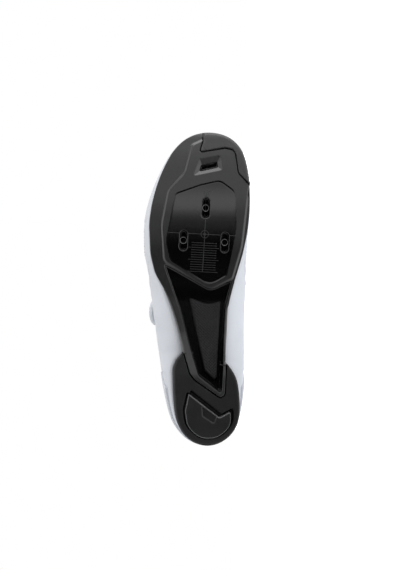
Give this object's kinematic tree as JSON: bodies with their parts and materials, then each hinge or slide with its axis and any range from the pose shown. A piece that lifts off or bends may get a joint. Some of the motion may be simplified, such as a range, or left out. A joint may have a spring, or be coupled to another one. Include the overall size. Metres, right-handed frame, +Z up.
{
  "type": "cycling shoe",
  "caption": "Low-cut cycling shoe with a stiff moulded sole, slotted cleat mount, toe and heel pads, smooth white upper and a lace dial.",
  "frame": {"origin": "middle of the shoe's box at floor level, as it lies on its inner side", "axes": "+X towards the toe, the tread facing -Y, +Z up through the outer side"},
  "size_m": [0.2774, 0.1184, 0.0937],
  "materials": {
    "upper_white": "smooth coated microfibre, satin",
    "lining_fabric": "knitted lining over foam",
    "sole_nylon": "glossy moulded nylon",
    "inlay_textured": "fine cross-hatched texture, matt",
    "sole_rubber": "matt rubber",
    "nut_steel": "plated",
    "closure_plastic": "satin moulded plastic",
    "lace": "coated wire"
  },
  "bodies": {
    "root": {"sole_plate": "sole_nylon", "toe_pad": "sole_rubber", "heel_pad": "sole_rubber", "heel_lift": "sole_rubber", "arch_inlay": "inlay_textured", "cleat_nut_front": "nut_steel", "cleat_nut_medial": "nut_steel", "cleat_nut_lateral": "nut_steel", "upper": "upper_white", "heel_counter": "upper_white", "tongue": "lining_fabric", "insole": "lining_fabric", "dial_base": "closure_plastic", "dial_knob": "closure_plastic", "lace_guide_medial_rear": "closure_plastic", "lace_guide_lateral_rear": "closure_plastic", "lace_guide_medial_front": "closure_plastic", "lace_guide_lateral_front": "closure_plastic", "lace_span_1": "lace", "lace_span_2": "lace", "lace_span_3": "lace", "lace_span_4": "lace"}
  },
  "joints": []
}
